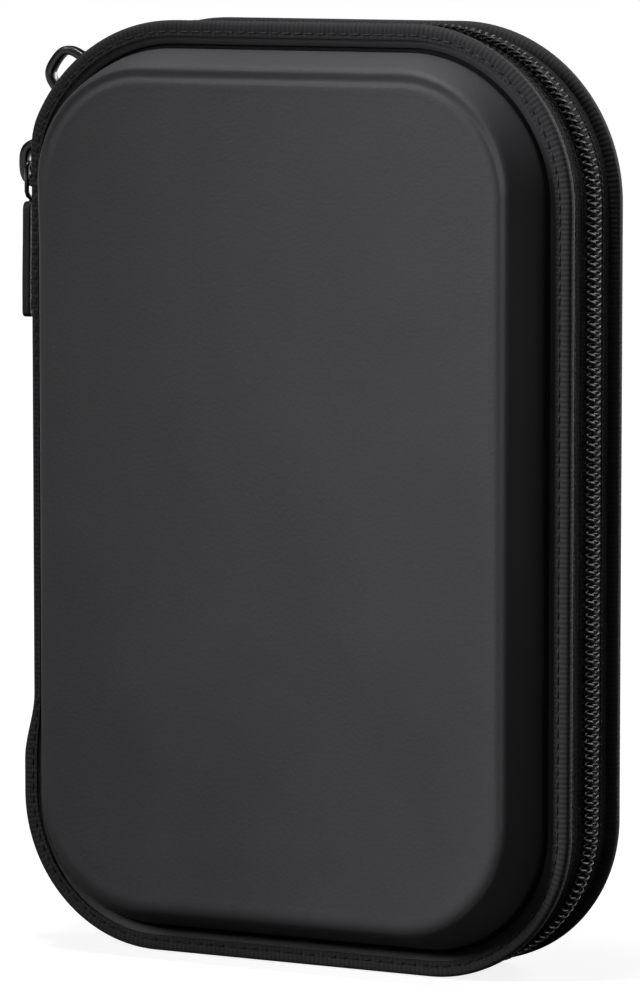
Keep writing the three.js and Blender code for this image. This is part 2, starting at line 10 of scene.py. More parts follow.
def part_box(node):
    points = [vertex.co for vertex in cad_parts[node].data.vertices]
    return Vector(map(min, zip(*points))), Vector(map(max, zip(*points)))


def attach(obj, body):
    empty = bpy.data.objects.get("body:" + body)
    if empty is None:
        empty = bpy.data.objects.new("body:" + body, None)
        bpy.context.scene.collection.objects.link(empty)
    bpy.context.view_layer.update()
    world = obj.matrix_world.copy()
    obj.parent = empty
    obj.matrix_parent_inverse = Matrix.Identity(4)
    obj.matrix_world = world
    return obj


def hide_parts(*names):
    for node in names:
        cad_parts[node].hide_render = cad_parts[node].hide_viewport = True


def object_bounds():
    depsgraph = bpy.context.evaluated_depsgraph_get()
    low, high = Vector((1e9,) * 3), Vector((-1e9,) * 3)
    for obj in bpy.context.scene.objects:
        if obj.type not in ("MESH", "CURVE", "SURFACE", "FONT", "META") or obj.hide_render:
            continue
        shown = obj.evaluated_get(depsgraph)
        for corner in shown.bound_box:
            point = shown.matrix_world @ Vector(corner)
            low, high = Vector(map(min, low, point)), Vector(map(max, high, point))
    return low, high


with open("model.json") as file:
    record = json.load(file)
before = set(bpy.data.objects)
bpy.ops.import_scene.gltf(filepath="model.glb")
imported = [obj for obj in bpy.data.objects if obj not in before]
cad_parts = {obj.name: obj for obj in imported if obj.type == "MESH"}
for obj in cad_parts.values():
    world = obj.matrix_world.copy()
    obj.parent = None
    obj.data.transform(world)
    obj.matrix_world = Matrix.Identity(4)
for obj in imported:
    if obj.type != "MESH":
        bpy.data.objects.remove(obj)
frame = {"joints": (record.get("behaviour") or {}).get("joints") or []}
CAD_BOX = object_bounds()

# ---- sizes of the case, in millimetres unless a name says metres ------------------------------
MM = 0.001
REAR_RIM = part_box("rear_rim_binding")
FRONT_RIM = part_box("front_rim_binding")
MEET_METRES = (FRONT_RIM[0].y + REAR_RIM[1].y) / 2  # the plane where the halves meet
MEET = MEET_METRES / MM
WIDTH = (REAR_RIM[1].x - REAR_RIM[0].x) / MM
HEIGHT = (REAR_RIM[1].z - REAR_RIM[0].z) / MM
RIM_HALF = (REAR_RIM[1].y - FRONT_RIM[0].y) / 2 / MM
SHELL_DEPTH = (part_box("rear_shell_skin")[1].y - REAR_RIM[1].y) / MM
MIDDLE = HEIGHT / 2
TOP_RADIUS = 36
BOTTOM_RADIUS = 31
FACE_RADIUS = 23
RIM_PROJECTION = 5.2  # how far the rim stands out round the foot of the walls
FACE_INSET = 10.2

# Heights that count from the middle of the case. The left side is drawn in between them.
NOTCH = 2.4
NOTCH_TOP = 76
NOTCH_TOP_END = 61
NOTCH_BOTTOM = -58
NOTCH_BOTTOM_END = -44
SPINE_TOP = 20
SPINE_BOTTOM = -44
ZIP_PAST_SPINE = 36  # the zip's upper run starts this far above the spine
RING_GAP = 6  # between the last station of the zip's run and the next one of the rim

# Layers, from the outside in.
SKIN = 0.5
FOAM = 2.6
PRESSED_FOAM = 0.4
LINING = 0.6
GAP = 0.2  # between bonded layers
BINDING = 0.6
BINDING_REACH = 3.2
BINDING_ROOM = 1.6
BINDING_INNER = RIM_HALF - 2 * BINDING - BINDING_ROOM
BINDING_SEAM = 2.3  # inset of the seam through the binding's legs
SEAM_DIP = 0.14  # how far the thread presses the binding in
TAPE = 0.8
TAPE_INSET = 1.9
TAPE_FLANGE = 4.2
TAPE_EDGE = BINDING_INNER - 0.3
TAPE_SEAMS = (3.5, 6.4)  # distances of the tape's two seams from the meeting plane
SEAM_HALF = 0.4  # half the width of the dip along each seam
TAPE_DIP = 0.08
CROWN = 0.35  # how far the middle of each face stands out past its edge

HALVES = (("front", -1, "lid"), ("rear", 1, "rear_half"))


def box_mm(name):
    """A CAD node's box about the meeting plane: low and high x, then y, then z."""
    low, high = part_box(name)
    return (low.x / MM, high.x / MM, low.y / MM - MEET, high.y / MM - MEET, low.z / MM, high.z / MM)


# ---- outline of the rim -----------------------------------------------------------------------
def ease(value, start, end):
    share = min(max((value - start) / (end - start), 0), 1)
    return share * share * (3 - 2 * share)


def notch_at(height):
    return ease(height, NOTCH_BOTTOM, NOTCH_BOTTOM_END) * (1 - ease(height, NOTCH_TOP_END, NOTCH_TOP))


def corner(side_x, side_z, start, steps=36):
    """Stations round one corner: its sides, a direction, its radius and the share of the notch."""
    radius = TOP_RADIUS if side_z > 0 else BOTTOM_RADIUS
    made = []
    for i in range(steps + 1):
        angle = (start + i / steps) * math.pi / 2
        direction = (math.cos(angle), math.sin(angle))
        height = side_z * (HEIGHT / 2 - radius) + radius * direction[1]
        notch = notch_at(height) if direction[0] < -0.5 else 0
        made.append((side_x, side_z, direction, radius, notch, None))
    return made


def left_side(start, end, steps):
    heights = [start + (end - start) * i / steps for i in range(steps + 1)]
    return [(0, 0, None, 0, notch_at(height), height) for height in heights]


def zip_stations():
    """From the foot of the spine down and round the case to the top of the spine."""
    foot = left_side(NOTCH_BOTTOM_END, NOTCH_BOTTOM, 14)
    top = left_side(SPINE_TOP + ZIP_PAST_SPINE, SPINE_TOP, 6)
    corners = corner(-1, -1, 2) + corner(1, -1, 3) + corner(1, 1, 0) + corner(-1, 1, 1)
    return foot + corners + top


ZIP_RUN = zip_stations()
RING = ZIP_RUN + left_side(SPINE_TOP - RING_GAP, SPINE_BOTTOM + RING_GAP, 8)


def radius_at(rim_radius, inset):
    if inset <= RIM_PROJECTION:
        return rim_radius - inset
    share = min((inset - RIM_PROJECTION) / (FACE_INSET - RIM_PROJECTION), 1)
    beyond = max(inset - FACE_INSET, 0)
    return (rim_radius - RIM_PROJECTION) * (1 - share) + FACE_RADIUS * share - beyond


def point_at(station, inset, y):
    """The point at an inset from the rim's edge. The notch fades out towards the foot of the wall."""
    side_x, side_z, direction, rim_radius, notch, height = station
    notch = notch * NOTCH * min(max(1 - inset / RIM_PROJECTION, 0), 1)
    if height is not None:
        return (inset + notch - WIDTH / 2, y, MIDDLE + height)
    radius = radius_at(rim_radius, inset)
    centre_x = side_x * (WIDTH / 2 - inset - radius)
    centre_z = side_z * (HEIGHT / 2 - inset - radius)
    reach = radius - notch
    return (centre_x + direction[0] * reach, y, MIDDLE + centre_z + direction[1] * reach)


def loops(stations, section):
    return np.array([[point_at(place, inset, y) for inset, y in section] for place in stations])


def run_of(rows, column=0, closed=False):
    steps = np.linalg.norm(np.diff(rows[:, column], axis=0), axis=1)
    if closed:
        steps = np.append(steps, np.linalg.norm(rows[0, column] - rows[-1, column]))
    return np.concatenate([[0], np.cumsum(steps)])


def evened(rows, closed, gap=5.0):
    """Adds rows where two stand further apart than the gap, so that long straights can be shaded."""
    ends = list(rows) + ([rows[0]] if closed else [])
    made = [ends[0]]
    for before, after in zip(ends, ends[1:]):
        steps = max(1, int(np.linalg.norm(after[0] - before[0]) / gap))
        made += [before + (after - before) * k / steps for k in range(1, steps + 1)]
    return np.array(made[:-1] if closed else made)


# ---- meshes -----------------------------------------------------------------------------------
def new_piece(name, points, faces, uvs=None, angle=None):
    """A mesh object from points in millimetres about the meeting plane. uvs has one per face corner."""
    mesh = bpy.data.meshes.new(name)
    placed = np.asarray(points, float) * MM
    placed[:, 1] += MEET_METRES
    mesh.from_pydata(placed.tolist(), [], [tuple(int(i) for i in face) for face in faces])
    if uvs is not None:
        layer = mesh.uv_layers.new(name="run")
        layer.data.foreach_set("uv", np.asarray(uvs, np.float32).ravel() * MM)
    mesh.polygons.foreach_set("use_smooth", [True] * len(mesh.polygons))
    mesh.validate()
    piece = bpy.data.objects.new(name, mesh)
    bpy.context.scene.collection.objects.link(piece)
    turn_outward(piece)
    if angle is not None:
        mesh.set_sharp_from_angle(angle=math.radians(angle))
    return piece


def turn_outward(piece):
    """Turns the faces of a closed mesh round where its volume comes out negative."""
    mesh = piece.data
    mesh.calc_loop_triangles()
    corners = np.array([t.vertices for t in mesh.loop_triangles])
    points = np.array([v.co for v in mesh.vertices])
    a, b, c = points[corners[:, 0]], points[corners[:, 1]], points[corners[:, 2]]
    if np.einsum("ij,ij->i", a, np.cross(b, c)).sum() < 0:
        mesh.flip_normals()


def skin_rows(rows, closed_run, closed_section):
    """Quads and their uvs over a grid of points: rows along the run, columns round the section."""
    count, width = rows.shape[:2]
    run = run_of(rows, 0, closed_run)
    across = run_of(rows.transpose(1, 0, 2), 0, closed_section)
    faces, uvs = [], []
    for i in range(count if closed_run else count - 1):
        k = (i + 1) % count
        for j in range(width if closed_section else width - 1):
            m = (j + 1) % width
            faces.append((i * width + j, k * width + j, k * width + m, i * width + m))
            uvs += [(run[i], across[j]), (run[i + 1], across[j]),
                    (run[i + 1], across[j + 1]), (run[i], across[j + 1])]
    return faces, uvs


def wall_faces(count, width):
    """Quads between closed rings of points, one ring after the other."""
    faces = []
    for i in range(count - 1):
        for j in range(width):
            k = (j + 1) % width
            faces.append((i * width + j, i * width + k, (i + 1) * width + k, (i + 1) * width + j))
    return faces


def end_faces(count, width):
    """The first and last of some closed rings of points, as one face each."""
    last = (count - 1) * width
    return [tuple(range(width)), tuple(range(last, last + width))]


def sweep(name, stations, section, closed, angle=35):
    """A tape or binding: a closed section carried along the stations, capped where it ends."""
    rows = evened(loops(stations, section), closed)
    faces, uvs = skin_rows(rows, closed, True)
    if not closed:
        width = rows.shape[1]
        faces += end_faces(len(rows), width)
        uvs += [(0, 0)] * (2 * width)
    return new_piece(name, rows.reshape(-1, 3), faces, uvs, angle=angle)


def dish(name, profile, crown=0.0, fan=0, angle=None, top_profile=None):
    """A dished shell. The profile runs from one side of the face's edge, round the rim, to the other
    side, and a fan of rings closes each side on the middle of the face. A second profile may take
    over towards the top."""
    rows = loops(RING, profile).transpose(1, 0, 2)
    if top_profile:
        top_rows = loops(RING, top_profile).transpose(1, 0, 2)
        share = np.array([ease(z, CREASE_STARTS, CREASE_FULL) for z in rows[:, :, 2].flat])
        rows = rows + (top_rows - rows) * share.reshape(*rows.shape[:2], 1)
    middle = np.array([0, 0, MIDDLE])
    outward = np.sign(rows[0, 0, 1])
    rings = []
    for edge in (rows[0], rows[-1]):
        side = []
        for k in range(1, fan + 1):
            share = 1 - k / (fan + 1)
            ring = middle + (edge - middle) * share
            ring[:, 1] = edge[:, 1] + outward * crown * (1 - share * share)
            side.append(ring)
        rings.append(side)
    grid = np.array(rings[0][::-1] + list(rows) + rings[1])
    count, width = grid.shape[:2]
    faces = skin_rows(grid, False, True)[0]
    points = list(grid.reshape(-1, 3))
    for row, edge in ((0, rows[0]), (count - 1, rows[-1])):
        points.append(np.array([0, edge[0, 1] + outward * crown, MIDDLE]))
        pole = len(points) - 1
        faces += [(row * width + j, row * width + (j + 1) % width, pole) for j in range(width)]
    return consistent(new_piece(name, np.array(points), faces, angle=angle))


def consistent(piece):
    """Makes the faces of a closed mesh agree, then turns them out."""
    made = bmesh.new()
    made.from_mesh(piece.data)
    bmesh.ops.recalc_face_normals(made, faces=made.faces)
    made.to_mesh(piece.data)
    made.free()
    turn_outward(piece)
    return piece


def curve_through(points, steps):
    """A smooth curve through points: each stretch is a cubic that leaves along its neighbours' chord."""
    points = np.asarray(points, float)
    ends = np.vstack([2 * points[0] - points[1], points, 2 * points[-1] - points[-2]])
    made = []
    for a, b, c, d in zip(ends, ends[1:], ends[2:], ends[3:]):
        reach = np.linalg.norm(c - b)
        leave = (c - a) / max(np.linalg.norm(c - a), 1e-9) * reach
        arrive = (d - b) / max(np.linalg.norm(d - b), 1e-9) * reach
        for k in range(steps):
            t = k / steps
            made.append((2 * t**3 - 3 * t**2 + 1) * b + (t**3 - 2 * t**2 + t) * leave
                        + (3 * t**2 - 2 * t**3) * c + (t**3 - t**2) * arrive)
    return np.array(made + [points[-1]])


def moved_in(profile, distance):
    profile = np.asarray(profile, float)
    along = np.gradient(profile, axis=0)
    along /= np.linalg.norm(along, axis=1)[:, None]
    return np.column_stack([profile[:, 0] + along[:, 1] * distance, profile[:, 1] - along[:, 0] * distance])


# ---- shells -----------------------------------------------------------------------------------
WALL = FACE_INSET - RIM_PROJECTION
FLANGE = -(BINDING + GAP)

# Over the top of the case a broad shallow crease runs inside the crest. It fades out down the sides
# between these heights.
CREASE_FULL = HEIGHT - 16
CREASE_STARTS = HEIGHT - 46

# Shares of the way in from the foot to the crest, and of the depth.
CREASED_WALL = ((0.12, 0.06), (0.38, 0.5), (0.62, 0.82), (0.76, 0.93), (0.88, 0.966),
                (1.2, 0.944), (1.34, 0.984), (1.46, 1), (1.8, 1))
SMOOTH_WALL = ((0.12, 0.06), (0.36, 0.4), (0.6, 0.67), (0.8, 0.84), (0.94, 0.925),
               (1.08, 0.972), (1.22, 0.995), (1.4, 1.003), (1.8, 1))
INNER_WALL = ((0.04, 0.06), (0.46, 0.64), (0.9, 0.96), (1.6, 1))
GROOVE = 1.3  # how deep the face fabric is pressed in along the foot of the wall


def wall_profile(shares):
    """From the foot of the wall over the rounded shoulder to the flat of the face."""
    return [(RIM_PROJECTION + inset * WALL, depth * SHELL_DEPTH) for inset, depth in shares]


def flange_profile():
    return [(BINDING + GAP, FLANGE), (RIM_PROJECTION - 0.3, FLANGE), (RIM_PROJECTION, FLANGE + 0.4)]


def placed(profile, side):
    return [(inset, side * (RIM_HALF + depth)) for inset, depth in profile]


def skin_profile(side, shares):
    wall = curve_through([(RIM_PROJECTION + 0.55, FLANGE - 0.1), *wall_profile(shares)], 6)
    groove = [(RIM_PROJECTION - 0.5, FLANGE), (RIM_PROJECTION - 0.35, FLANGE - 0.7 * GROOVE),
              (RIM_PROJECTION - 0.1, FLANGE - GROOVE), (RIM_PROJECTION + 0.45, FLANGE - 0.95 * GROOVE)]
    outer = np.vstack([flange_profile()[:1], groove, wall])
    inner = moved_in(outer, SKIN)
    return placed(outer[::-1], side) + placed(inner, side)


def foam_profile(side):
    near = SKIN + GAP
    front = moved_in(flange_profile() + wall_profile(SMOOTH_WALL), near)
    back = moved_in(flange_profile() + wall_profile(INNER_WALL), near + FOAM)
    flange_back = front[0][1] - PRESSED_FOAM
    foot = RIM_PROJECTION + FOAM + near
    turn = [(front[0][0], flange_back), (foot - 0.6, flange_back), (foot, flange_back + 0.6)]
    return placed([*front[::-1], *turn, *back[4:]], side)


def lining_profile(side):
    near = SKIN + FOAM + 2 * GAP
    lip = FLANGE - SKIN - PRESSED_FOAM - 2 * GAP
    wall = flange_profile() + wall_profile(INNER_WALL)
    front, inner = moved_in(wall, near)[4:], moved_in(wall, near + LINING)[4:]
    edge = [(RIM_PROJECTION + near, lip), (RIM_PROJECTION + near + LINING, lip - 0.4)]
    return placed([*front[::-1], *edge, *inner], side)


def binding_section(side):
    """A folded tape, full at the fold, with its outer leg pressed down where it is sewn."""
    fold = [(0.9, 0), (0.45, 0.12), (0.12, 0.45), (0, 0.9)]
    outer, inner = RIM_HALF, BINDING_INNER
    before, seam, after = BINDING_SEAM + SEAM_HALF, BINDING_SEAM, BINDING_SEAM - SEAM_HALF
    front = [(BINDING_REACH, outer - 0.1), (before, outer), (seam, outer - SEAM_DIP), (after, outer)]
    points = (
        [(BINDING_REACH, outer - BINDING), *front]
        + [(inset, outer - depth) for inset, depth in fold]
        + [(inset, inner + depth) for inset, depth in reversed(fold)]
        + [(after, inner), (seam, inner + SEAM_DIP), (before, inner), (BINDING_REACH, inner + 0.1)]
        + [(BINDING_REACH, inner + BINDING), (BINDING, inner + BINDING), (BINDING, outer - BINDING)]
    )
    return [(inset, side * y) for inset, y in points]


def tape_section(side):
    """A woven tape from near the meeting plane out to the rim, with its edge folded inward."""
    start = 0.9
    points = [(TAPE_INSET, start)]
    for seam in TAPE_SEAMS:
        points += [(TAPE_INSET, seam - SEAM_HALF), (TAPE_INSET + TAPE_DIP, seam), (TAPE_INSET, seam + SEAM_HALF)]
    points += [(TAPE_INSET, TAPE_EDGE - 0.3), (TAPE_INSET + 0.3, TAPE_EDGE), (TAPE_FLANGE, TAPE_EDGE),
               (TAPE_FLANGE, TAPE_EDGE - 0.4), (TAPE_INSET + TAPE, TAPE_EDGE - 0.4), (TAPE_INSET + TAPE, start)]
    return [(inset, side * y) for inset, y in points]


# ---- threads and coils, which follow the zip --------------------------------------------------
class Track:
    """Places along a run of the rim: a distance, an inset and a depth give a point."""

    def __init__(self, stations):
        edge, foot = (evened(loops(stations, [(inset, 0)]), False, 2.0)[:, 0] for inset in (0, RIM_PROJECTION))
        if len(edge) != len(foot):
            at_edge, at_foot = (np.linspace(0, 1, len(line)) for line in (edge, foot))
            foot = np.column_stack([np.interp(at_edge, at_foot, foot[:, k]) for k in range(3)])
        self.edge, self.foot = edge, foot
        line = self.edge + (self.foot - self.edge) * (TAPE_INSET / RIM_PROJECTION)
        self.run = np.concatenate([[0], np.cumsum(np.linalg.norm(np.diff(line, axis=0), axis=1))])
        self.length = self.run[-1]

    def spot(self, distance, inset, y):
        distance = np.asarray(distance, float)
        share = np.asarray(inset, float) / RIM_PROJECTION
        x, z = (
            np.interp(distance, self.run, self.edge[:, k]) * (1 - share)
            + np.interp(distance, self.run, self.foot[:, k]) * share
            for k in (0, 2)
        )
        return np.column_stack([x, np.broadcast_to(y, distance.shape), z])


def tube(path, radius, sides, closed=False):
    """Points and faces of a rod along a path. Its section turns as little as it can."""
    path = np.asarray(path, float)
    ahead = np.roll(path, -1, axis=0) if closed else np.vstack([path[1:], 2 * path[-1] - path[-2]])
    behind = np.roll(path, 1, axis=0) if closed else np.vstack([2 * path[0] - path[1], path[:-1]])
    along = ahead - behind
    along /= np.linalg.norm(along, axis=1)[:, None]
    normal = np.cross(along[0], (0.3, 0.9, 0.2))
    points = []
    for place, direction in zip(path, along):
        normal = normal - direction * np.dot(normal, direction)
        normal /= np.linalg.norm(normal)
        other = np.cross(direction, normal)
        for k in range(sides):
            angle = 2 * math.pi * k / sides
            points.append(place + radius * (math.cos(angle) * normal + math.sin(angle) * other))
    count = len(path)
    faces = wall_faces(count, sides)
    if closed:
        last = (count - 1) * sides
        faces += [(last + j, last + (j + 1) % sides, (j + 1) % sides, j) for j in range(sides)]
    else:
        start, end = end_faces(count, sides)
        faces += [start[::-1], end]
    return points, faces


def gathered(parts):
    """Joins lists of points and faces into one."""
    points, faces = [], []
    for some_points, some_faces in parts:
        faces += [tuple(i + len(points) for i in face) for face in some_faces]
        points += list(some_points)
    return points, faces


COIL_PITCH = 1.5
COIL_ROD = 0.31


def coil(name, track, side):
    """One monofilament coil of the zip. Its turns reach past the meeting plane, between the other's."""
    turns = int(track.length / COIL_PITCH) - 1
    per_turn = 10
    angle = np.arange(turns * per_turn + 1) * 2 * math.pi / per_turn
    offset = COIL_PITCH * (0.5 if side > 0 else 0.0) + 0.4
    distance = offset + COIL_PITCH * angle / (2 * math.pi)
    y = side * (1.3 - 1.65 * np.cos(angle))
    inset = 0.92 - 0.4 * np.sin(angle)
    return new_piece(name, *tube(track.spot(distance, inset, y), COIL_ROD, 6))


def stitches(name, track, rows, pitch, length, rod=0.17):
    """Rows of thread stitches. Each row is (inset, y, rise of the inset, rise of y)."""
    parts = []
    for inset, y, rise_inset, rise_y in rows:
        for k in range(int((track.length - 1) / pitch)):
            distance = 0.5 + k * pitch + np.linspace(0, length, 5)
            lift = np.array([-0.6, 0.55, 0.8, 0.55, -0.6])
            path = track.spot(distance, inset + rise_inset * lift, 0.0)
            path[:, 1] = y + rise_y * lift
            parts.append(tube(path, rod, 5))
    return new_piece(name, *gathered(parts))


# ---- small fittings, drawn in a frame of their own --------------------------------------------
def in_frame(points, matrix):
    return [tuple(matrix @ Vector(point)) for point in points]


def inset_outline(outline, distance):
    """The outline with each corner moved in square to its neighbours."""
    outline = np.asarray(outline, float)
    before, after = np.roll(outline, 1, axis=0), np.roll(outline, -1, axis=0)
    along = after - before
    along /= np.maximum(np.linalg.norm(along, axis=1)[:, None], 1e-9)
    inward = np.column_stack([-along[:, 1], along[:, 0]])
    area = np.sum(outline[:, 0] * after[:, 1] - after[:, 0] * outline[:, 1])
    return outline + inward * distance * (1 if area > 0 else -1)


def slab(outline, levels):
    """A closed body from an outline in x and z and levels of (height, inset of the outline)."""
    points = []
    for height, inset in levels:
        points += [(x, height, z) for x, z in inset_outline(outline, inset)]
    return points, wall_faces(len(levels), len(outline)) + end_faces(len(levels), len(outline))


def softened_square(count, power_u, power_v):
    """Points round a square of half width 1. The lower the powers, the fuller its corners."""
    angles = np.linspace(0, 2 * math.pi, count + 1)[:-1]
    return [(math.copysign(abs(math.cos(a)) ** power_u, math.cos(a)),
             math.copysign(abs(math.sin(a)) ** power_v, math.sin(a))) for a in angles]


def rounded_levels(low, high, round_):
    """Levels of a slab whose edges are rounded at both faces."""
    turn = [(round_ * (1 - math.cos(a)), round_ * (1 - math.sin(a))) for a in np.linspace(0, math.pi / 2, 5)]
    return [(low + rise, inset) for rise, inset in turn] + [(high - rise, inset) for rise, inset in turn[::-1]]


def rounded_box_outline(x0, x1, z0, z1, radius, steps=6):
    made = []
    for cx, cz, start in ((x1 - radius, z1 - radius, 0), (x0 + radius, z1 - radius, 1),
                          (x0 + radius, z0 + radius, 2), (x1 - radius, z0 + radius, 3)):
        for k in range(steps + 1):
            angle = (start + k / steps) * math.pi / 2
            made.append((cx + radius * math.cos(angle), cz + radius * math.sin(angle)))
    return made


def quadratic(a, b, c, steps=8):
    """Points along a curve from a to c that is drawn towards b. The last point is left to what follows."""
    return [tuple((1 - t) ** 2 * a[k] + 2 * t * (1 - t) * b[k] + t * t * c[k] for k in (0, 1))
            for t in np.linspace(0, 1, steps + 1)[:-1]]


SLIDER_HALF = 6.5
PLATE_LOW = 0.1
PLATE_TOP = 1.4
SKIRT_INNER = 3.2
TAIL_WIDTH = 8.2
NOSE_WIDTH = 9.4
INNER_TOP = -3.7
BAIL_TOP = PLATE_TOP + 7.4
BAIL_STRIP = 1.1
BAIL_WIDTH = 2.6
BAIL_SPARE = 0.8  # thickness that the cast bail has inside its outer line, over a bent strip's
PIN_HEIGHT = 5.9
LYING_HEIGHT = 2.6


def plate_outline():
    nose, tail, half = NOSE_WIDTH / 2, TAIL_WIDTH / 2, SLIDER_HALF
    right = (quadratic((-half, 0), (-half, nose), (-half + 3, nose)) + [(-0.5, nose)]
             + quadratic((-0.5, nose), (half - 4, tail), (half - 1, tail))
             + quadratic((half - 1, tail), (half, tail), (half, tail - 1), 4) + [(half, tail - 1)])
    left = [(x, -z) for x, z in reversed(right[1:])]
    return right + left


def slider_parts():
    half = SLIDER_HALF
    crowned = rounded_levels(PLATE_LOW, PLATE_TOP - 0.1, 0.4) + [(PLATE_TOP, 1.4)]
    skirts = []
    for side in (-1, 1):
        z0, z1 = sorted((side * SKIRT_INNER, side * (SKIRT_INNER + 0.9)))
        outline = rounded_box_outline(0, half - 1.2, z0, z1, 0.3)
        skirts.append(slab(outline, rounded_levels(-1.6, PLATE_LOW + 0.4, 0.2)))
    post = slab(rounded_box_outline(-half + 1, -half + 3.5, -0.5, 0.5, 0.3),
                [(INNER_TOP - 0.4, 0), (PLATE_LOW + 0.4, 0)])
    inner = slab(plate_outline(), rounded_levels(INNER_TOP - 1.1, INNER_TOP, 0.35))
    return [slab(plate_outline(), crowned), inner, post, *skirts]


def bail_parts():
    """A bent strip with softened edges, standing on the outer plate by two feet."""
    reach, foot, top = SLIDER_HALF - 1 - BAIL_STRIP / 2, PLATE_TOP - 0.1, BAIL_TOP - BAIL_STRIP / 2
    start, up = np.array((-reach, foot)), np.array((-reach, top - 0.6))
    over, middle = np.array((-reach * 0.62, top)), np.array((0, top))
    t = np.linspace(0, 1, 13)[:, None]
    left = (1 - t) ** 3 * start + 3 * t * (1 - t) ** 2 * up + 3 * t * t * (1 - t) * over + t**3 * middle
    path = np.vstack([left, (left * (-1, 1))[::-1][1:]])
    along = np.gradient(path, axis=0)
    along /= np.linalg.norm(along, axis=1)[:, None]
    normal = np.column_stack([-along[:, 1], along[:, 0]])
    path = path - normal * BAIL_SPARE / 2
    section = [(u * (BAIL_STRIP + BAIL_SPARE) / 2, v * BAIL_WIDTH / 2) for u, v in softened_square(20, 0.45, 0.45)]
    points = [(*(place + n * out), across) for place, n in zip(path, normal) for out, across in section]
    faces = wall_faces(len(path), len(section)) + end_faces(len(path), len(section))
    foot_levels = [(PLATE_TOP - 0.2, 0), (PLATE_TOP + 0.2, 0), (PLATE_TOP + 0.55, 0.35)]
    feet = [slab(rounded_box_outline(x - 1, x + 1, -1.9, 1.9, 0.7), foot_levels) for x in (-reach, reach)]
    return [(points, faces), *feet]


def link_parts():
    """A bent wire ring that closes on a flat tongue."""
    rod, half, neck, bend = 0.5, 2.7, 7.6, 0.9
    corners = []
    for z, start in ((half - bend, 1), (-half + bend, 2)):
        angles = [(start + k / 5) * math.pi / 2 for k in range(6)]
        corners += [(bend + bend * math.cos(angle), 0, z + bend * math.sin(angle)) for angle in angles]
    narrow = [(neck - 1.8, 0, -half), (neck - 0.9, 0, -half + 0.5), (neck - 0.3, 0, -0.9), (neck + 0.6, 0, -0.75)]
    path = corners + narrow + [(x, y, -z) for x, y, z in reversed(narrow)]
    tongue = slab(rounded_box_outline(neck - 0.4, neck + 2.4, -1.15, 1.15, 0.3), rounded_levels(-0.5, 0.5, 0.2))
    return [tube(path, rod, 10, closed=True), tongue]


GRIP_START, GRIP_END, GRIP_HALF, GRIP_THICK = 7.9, 31.9, 3.5, 0.9
UPPER_ANGLE = 142  # where the upper slider sits on its corner
UPPER_PULL_TURN = 55  # how far its pull leans from the run of the zip


def grip_outline():
    """Waisted at the ring's end and a little wider at the free end."""
    shoulder = quadratic((GRIP_START, 1.9), (GRIP_START, 2.9), (GRIP_START + 1.6, 3.1), 5)
    side = [(GRIP_START + 1.6 + k * 3, 3.1 + 0.4 * ease(k, 0, 6)) for k in range(7)]
    rounding = quadratic((GRIP_END - 1.2, GRIP_HALF), (GRIP_END, GRIP_HALF), (GRIP_END, GRIP_HALF - 1.2), 6)
    right = shoulder + side + rounding + [(GRIP_END, GRIP_HALF - 1.2)]
    return right + [(x, -z) for x, z in reversed(right)]


def grip_parts():
    """A slab with a raised edge round each face, and ribs in its free end's half."""
    face = [(GRIP_THICK, 0.85), (GRIP_THICK - 0.34, 1.15), (GRIP_THICK - 0.34, 1.5)]
    rim = rounded_levels(-GRIP_THICK, GRIP_THICK, 0.3)
    body = slab(grip_outline(), [(-y, inset) for y, inset in reversed(face)] + rim + face)
    ribs = []
    for side in (-1, 1):
        for k in range(6):
            x = GRIP_END - 3.4 - 2.0 * k
            low, high = sorted((side * (GRIP_THICK - 0.45), side * (GRIP_THICK - 0.06)))
            outline = rounded_box_outline(x - 0.45, x + 0.45, -2.1, 2.1, 0.4)
            ribs.append(slab(outline, rounded_levels(low, high, 0.12)))
    return [body, *ribs]


def frame_of(origin, along, outward):
    across = Vector(along).cross(Vector(outward))
    matrix = Matrix((along, outward, tuple(across))).transposed().to_4x4()
    return Matrix.Translation(origin) @ matrix


def fitting(name, parts, matrix, angle=50):
    points, faces = gathered(parts)
    return consistent(new_piece(name, in_frame(points, matrix), faces, angle=angle))


def joint_place(name):
    """Where the record puts a joint, in millimetres about the meeting plane."""
    found = next(joint for joint in frame["joints"] if joint["name"] == name)
    x, y, z = found["pos_m"]
    return Vector((x / MM, (y - MEET_METRES) / MM, z / MM))


def upper_frames():
    angle = math.radians(UPPER_ANGLE)
    outward = (math.cos(angle), 0, math.sin(angle))
    origin = joint_place("upper_slider_run") + TOP_RADIUS * Vector(outward)
    slider = frame_of(origin, (outward[2], 0, -outward[0]), outward)
    turn = math.pi - math.radians(UPPER_PULL_TURN)
    direction = Vector((math.cos(turn), 0, -math.sin(turn)))
    place = Vector((-(SLIDER_HALF - 1 - BAIL_STRIP / 2), LYING_HEIGHT, 0)) - 2.3 * direction
    lying = Matrix.Translation(place) @ Matrix.Rotation(turn, 4, "Y")
    return slider, slider @ lying


def lower_frames():
    bail_box, body_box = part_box("lower_slider_bail"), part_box("lower_slider_body")
    origin = Vector((bail_box[0].x / MM + BAIL_TOP, 0, (body_box[0].z + body_box[1].z) / 2 / MM))
    slider = frame_of(origin, (0, 0, -1), (-1, 0, 0))
    return slider, slider @ Matrix.Translation((0, PIN_HEIGHT, 0))


# ---- materials --------------------------------------------------------------------------------
def linear(hex_colour):
    """An sRGB hex colour as linear RGBA."""
    parts = [int(hex_colour[i:i + 2], 16) / 255 for i in (1, 3, 5)]
    return (*(p / 12.92 if p <= 0.04045 else ((p + 0.055) / 1.055) ** 2.4 for p in parts), 1)


